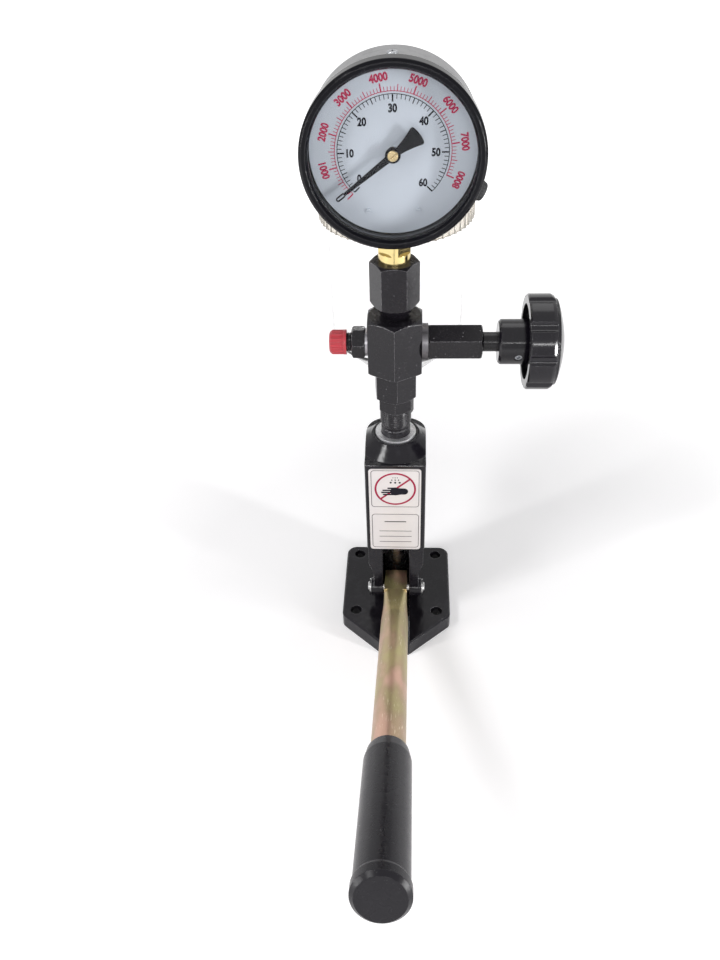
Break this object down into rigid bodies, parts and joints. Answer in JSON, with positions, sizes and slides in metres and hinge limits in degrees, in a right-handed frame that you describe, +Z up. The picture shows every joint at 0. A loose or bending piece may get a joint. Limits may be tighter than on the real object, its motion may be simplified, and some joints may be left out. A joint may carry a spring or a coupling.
{
  "type": "fuel injector tester",
  "caption": "Hand pump on a bolted base with a pressure gauge, a shut-off valve with a lobed knob, a capped outlet and a clear oil jar, worked by a long lever.",
  "frame": {"origin": "on the underside of the base plate, on the axis of the pump column", "axes": "+Z up along the column; -Y towards the user, where the lever reaches out and the gauge faces; +X towards the shut-off knob"},
  "size_m": [0.1645, 0.4675, 0.4225],
  "materials": {
    "cast_black": "semi-gloss black paint over a casting",
    "steel_black": "blackened machined steel, light oil sheen",
    "steel_bright": "ground bright steel",
    "steel_spring": "drawn spring wire",
    "zinc_yellow": "yellow passivated zinc with a mottled tint",
    "zinc_white": "white zinc plating, slightly speckled",
    "brass_plain": "turned brass",
    "washer_alu": "soft aluminium sealing washer",
    "label_alu": "thin bare plate with a satin face",
    "case_grey": "silver-grey enamel",
    "bezel_black": "gloss black enamel",
    "dial_pale": "pale blue-grey dial",
    "pointer_black": "matt black",
    "window_glass": "clear flat window",
    "jar_clear": "clear moulded plastic",
    "knob_black": "polished black moulding",
    "grip_black": "dipped soft plastic, satin",
    "cap_red": "red moulded plastic",
    "seal_black": "black sealing rubber",
    "packing_white": "white packing"
  },
  "bodies": {
    "tester": {"pump_housing": "cast_black", "pressure_union": "steel_black", "lock_nut": "steel_black", "valve_block": "steel_black", "gauge_adapter": "steel_black", "shutoff_housing": "steel_black", "outlet_fitting": "steel_black", "gland_bush": "steel_black", "pump_barrel": "steel_bright", "valve_seat": "steel_bright", "pivot_pin": "steel_bright", "tappet_pin": "steel_bright", "jar_bolt": "steel_bright", "drill_plug": "steel_bright", "return_spring": "steel_spring", "delivery_spring": "steel_spring", "pivot_clips": "steel_spring", "union_ring": "zinc_white", "case_screw": "zinc_white", "dial_screws": "zinc_white", "gauge_socket": "brass_plain", "movement_plates": "brass_plain", "bourdon_tube": "brass_plain", "dial_posts": "brass_plain", "strainer": "brass_plain", "shutoff_washer": "washer_alu", "outlet_washer": "washer_alu", "label_plate": "label_alu", "gauge_case": "case_grey", "gauge_bezel": "bezel_black", "gauge_dial": "dial_pale", "gauge_glass": "window_glass", "oil_jar": "jar_clear", "glass_gasket": "seal_black", "vent_plug": "seal_black", "jar_gasket": "seal_black", "stem_packing": "packing_white"},
    "lever": {"lever_bar": "zinc_yellow", "lever_grip": "grip_black"},
    "plunger_set": {"tappet": "steel_bright", "plunger": "steel_bright", "spring_seat": "steel_bright"},
    "needle": {"valve_needle": "steel_bright"},
    "knob": {"valve_spindle": "steel_black", "valve_knob": "knob_black", "knob_set_screw": "zinc_white"},
    "pointer": {"pointer": "pointer_black", "pointer_cap": "brass_plain", "pinion_arbor": "steel_bright"},
    "sector": {"sector_gear": "brass_plain"},
    "link": {"movement_link": "brass_plain"},
    "cap": {"outlet_cap": "cap_red"},
    "lid": {"jar_lid": "jar_clear"},
    "delivery": {"delivery_valve": "steel_bright"}
  },
  "joints": [
    {"name": "lever_pump", "type": "hinge", "parent": "tester", "child": "lever", "pos_m": [0, -0.024, 0.03], "axis": [1, 0, 0], "range_deg": [0, 20], "stiffness_Nm_per_rad": 3, "springref_deg": -28.65},
    {"name": "plunger_stroke", "type": "slide", "parent": "tester", "child": "plunger_set", "axis": [0, 0, 1], "range_m": [0, 0.0079], "deforming": ["return_spring"]},
    {"name": "needle_travel", "type": "slide", "parent": "tester", "child": "needle", "axis": [1, 0, 0], "range_m": [0, 0.00225]},
    {"name": "knob_turn", "type": "hinge", "parent": "needle", "child": "knob", "pos_m": [0.06, 0, 0.24], "axis": [1, 0, 0], "range_deg": [0, 540]},
    {"name": "pointer_sweep", "type": "hinge", "parent": "tester", "child": "pointer", "pos_m": [0, -0.018, 0.37], "axis": [0, 1, 0], "range_deg": [0, 275], "stiffness_Nm_per_rad": 0.01, "springref_deg": -28.65},
    {"name": "sector_swing", "type": "hinge", "parent": "tester", "child": "sector", "pos_m": [0, -0.009, 0.346], "axis": [0, 1, 0], "range_deg": [-37.8, 0]},
    {"name": "link_swing", "type": "hinge", "parent": "sector", "child": "link", "pos_m": [0.01316, -0.0105, 0.34121], "axis": [0, 1, 0], "range_deg": [0, 40]},
    {"name": "cap_pull", "type": "slide", "parent": "tester", "child": "cap", "axis": [-1, 0, 0], "range_m": [0, 0.016]},
    {"name": "lid_lift", "type": "slide", "parent": "tester", "child": "lid", "axis": [0, 0, 1], "range_m": [0, 0.03]},
    {"name": "delivery_lift", "type": "slide", "parent": "tester", "child": "delivery", "axis": [0, 0, 1], "range_m": [0, 0.001], "stiffness_N_per_m": 500, "springref_m": -0.002, "deforming": ["delivery_spring"]}
  ],
  "couplings": [
    {"joint": "plunger_stroke", "follows": "lever_pump", "m_per_rad": 0.022582},
    {"joint": "knob_turn", "follows": "needle_travel", "rad_per_m": 4188.7},
    {"joint": "pointer_sweep", "follows": "sector_swing", "ratio": -7},
    {"joint": "link_swing", "follows": "sector_swing", "ratio": -1}
  ]
}
